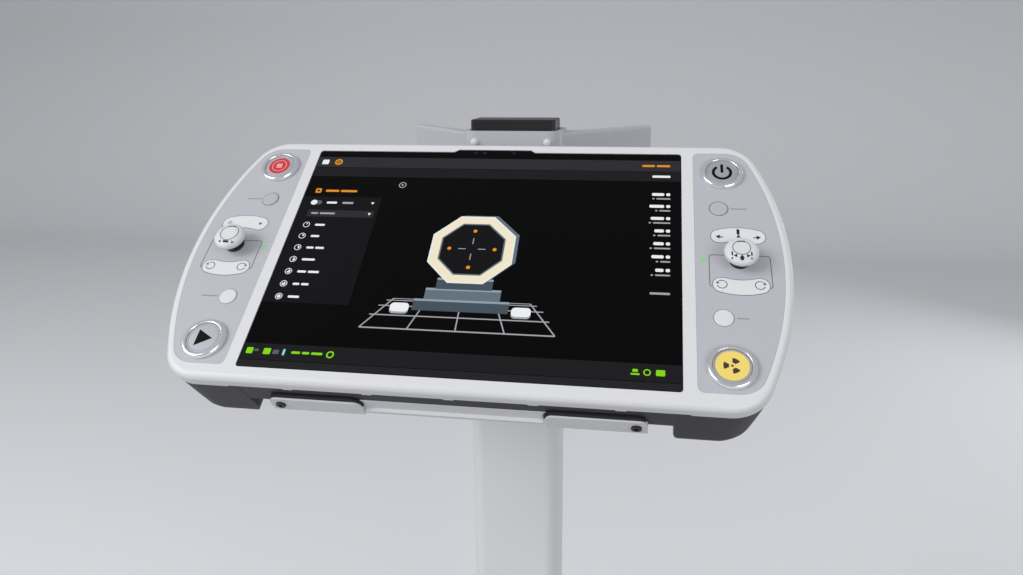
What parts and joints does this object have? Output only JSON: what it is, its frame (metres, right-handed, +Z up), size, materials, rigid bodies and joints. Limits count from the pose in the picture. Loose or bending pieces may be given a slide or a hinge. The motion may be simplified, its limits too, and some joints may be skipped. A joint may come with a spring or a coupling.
{
  "type": "ct scanner control console on a stand",
  "caption": "Tilted touchscreen control console with two joysticks and push buttons at its bowed ends, held by lips in a dock on a floor post, for driving a mobile ct scanner",
  "frame": {"origin": "on the floor under the middle of the base plate", "axes": "+Z up, +X to the operator's right, the operator stands on the -Y side facing +Y"},
  "size_m": [0.46, 0.45, 1.0754],
  "materials": {
    "white_shell": "satin",
    "dark_shell": "fine texture",
    "seal_rubber": "matte",
    "cover_glass": "polished",
    "black_plastic": "satin",
    "inner_aluminium": "as cast",
    "circuit_board": "solder mask",
    "battery_wrap": "film",
    "fastener_steel": "zinc plated",
    "overlay_film": "fine matt film",
    "status_green": "glowing",
    "bezel_chrome": "polished",
    "cap_aluminium": "satin anodised",
    "key_grey": "matt",
    "key_white": "matt",
    "stick_white": "matt",
    "stick_black": "satin",
    "tray_paint": "powder coat",
    "post_paint": "powder coat",
    "handle_paint": "powder coat",
    "dark_screw": "black oxide",
    "foot_rubber": "matte"
  },
  "bodies": {
    "stand_and_console": {"front_shell": "white_shell", "rear_shell": "dark_shell", "shell_gasket": "seal_rubber", "cover_glass": "cover_glass", "display_module": "black_plastic", "main_chassis": "inner_aluminium", "logic_board": "circuit_board", "left_battery": "battery_wrap", "right_battery": "battery_wrap", "contact_plate": "black_plastic", "shell_screws": "fastener_steel", "left_overlay": "overlay_film", "right_overlay": "overlay_film", "status_lights": "status_green", "stop_bezel": "bezel_chrome", "power_bezel": "bezel_chrome", "start_bezel": "bezel_chrome", "exposure_bezel": "bezel_chrome", "bezel_nuts": "fastener_steel", "switch_blocks": "black_plastic", "key_boards": "circuit_board", "left_stick_housing": "black_plastic", "right_stick_housing": "black_plastic", "dock_tray": "tray_paint", "lip_screws": "dark_screw", "dock_connector": "black_plastic", "tray_bracket": "tray_paint", "bracket_bolts": "fastener_steel", "post": "post_paint", "post_cap": "black_plastic", "head_screws": "key_white", "rear_handle": "handle_paint", "handle_bolts": "fastener_steel", "base_flange": "post_paint", "base_plate": "post_paint", "base_bolts": "fastener_steel", "levelling_feet": "foot_rubber"},
    "stop_button": {"stop_cap": "cap_aluminium"},
    "power_button": {"power_cap": "cap_aluminium"},
    "start_button": {"start_cap": "cap_aluminium"},
    "exposure_button": {"exposure_cap": "cap_aluminium"},
    "upper_left_key_body": {"upper_left_key": "key_grey"},
    "lower_left_key_body": {"lower_left_key": "key_white"},
    "upper_right_key_body": {"upper_right_key": "key_grey"},
    "lower_right_key_body": {"lower_right_key": "key_white"},
    "left_gimbal": {"left_stick_yoke": "fastener_steel"},
    "left_stick": {"left_stick_shaft": "stick_black"},
    "left_knob": {"left_stick_cap": "stick_white"},
    "right_gimbal": {"right_stick_yoke": "fastener_steel"},
    "right_stick": {"right_stick_shaft": "stick_black"},
    "right_knob": {"right_stick_cap": "stick_white"}
  },
  "joints": [
    {"name": "stop_press", "type": "slide", "parent": "stand_and_console", "child": "stop_button", "axis": [0, 0.6157, -0.788], "range_m": [0, 0.0018], "stiffness_N_per_m": 1500, "springref_m": -0.0004},
    {"name": "power_press", "type": "slide", "parent": "stand_and_console", "child": "power_button", "axis": [0, 0.6157, -0.788], "range_m": [0, 0.0018], "stiffness_N_per_m": 1500, "springref_m": -0.0004},
    {"name": "start_press", "type": "slide", "parent": "stand_and_console", "child": "start_button", "axis": [0, 0.6157, -0.788], "range_m": [0, 0.0018], "stiffness_N_per_m": 1500, "springref_m": -0.0004},
    {"name": "exposure_press", "type": "slide", "parent": "stand_and_console", "child": "exposure_button", "axis": [0, 0.6157, -0.788], "range_m": [0, 0.0018], "stiffness_N_per_m": 1500, "springref_m": -0.0004},
    {"name": "upper_left_key_press", "type": "slide", "parent": "stand_and_console", "child": "upper_left_key_body", "axis": [0, 0.6157, -0.788], "range_m": [0, 0.0006], "stiffness_N_per_m": 1500, "springref_m": -0.0003},
    {"name": "lower_left_key_press", "type": "slide", "parent": "stand_and_console", "child": "lower_left_key_body", "axis": [0, 0.6157, -0.788], "range_m": [0, 0.0006], "stiffness_N_per_m": 1500, "springref_m": -0.0003},
    {"name": "upper_right_key_press", "type": "slide", "parent": "stand_and_console", "child": "upper_right_key_body", "axis": [0, 0.6157, -0.788], "range_m": [0, 0.0006], "stiffness_N_per_m": 1500, "springref_m": -0.0003},
    {"name": "lower_right_key_press", "type": "slide", "parent": "stand_and_console", "child": "lower_right_key_body", "axis": [0, 0.6157, -0.788], "range_m": [0, 0.0006], "stiffness_N_per_m": 1500, "springref_m": -0.0003},
    {"name": "left_stick_forward", "type": "hinge", "parent": "stand_and_console", "child": "left_gimbal", "pos_m": [-0.1655, -0.04298, 0.99409], "axis": [1, 0, 0], "range_deg": [-13, 13], "stiffness_Nm_per_rad": 0.12},
    {"name": "left_stick_sideways", "type": "hinge", "parent": "left_gimbal", "child": "left_stick", "pos_m": [-0.1655, -0.04298, 0.99409], "axis": [0, 0.788, 0.6157], "range_deg": [-13, 13], "stiffness_Nm_per_rad": 0.12},
    {"name": "left_stick_twist", "type": "hinge", "parent": "left_stick", "child": "left_knob", "pos_m": [-0.1655, -0.05129, 1.00473], "axis": [0, -0.6157, 0.788], "range_deg": [-25, 25], "stiffness_Nm_per_rad": 0.05},
    {"name": "right_stick_forward", "type": "hinge", "parent": "stand_and_console", "child": "right_gimbal", "pos_m": [0.1655, -0.04298, 0.99409], "axis": [1, 0, 0], "range_deg": [-13, 13], "stiffness_Nm_per_rad": 0.12},
    {"name": "right_stick_sideways", "type": "hinge", "parent": "right_gimbal", "child": "right_stick", "pos_m": [0.1655, -0.04298, 0.99409], "axis": [0, 0.788, 0.6157], "range_deg": [-13, 13], "stiffness_Nm_per_rad": 0.12},
    {"name": "right_stick_twist", "type": "hinge", "parent": "right_stick", "child": "right_knob", "pos_m": [0.1655, -0.05129, 1.00473], "axis": [0, -0.6157, 0.788], "range_deg": [-25, 25], "stiffness_Nm_per_rad": 0.05}
  ]
}
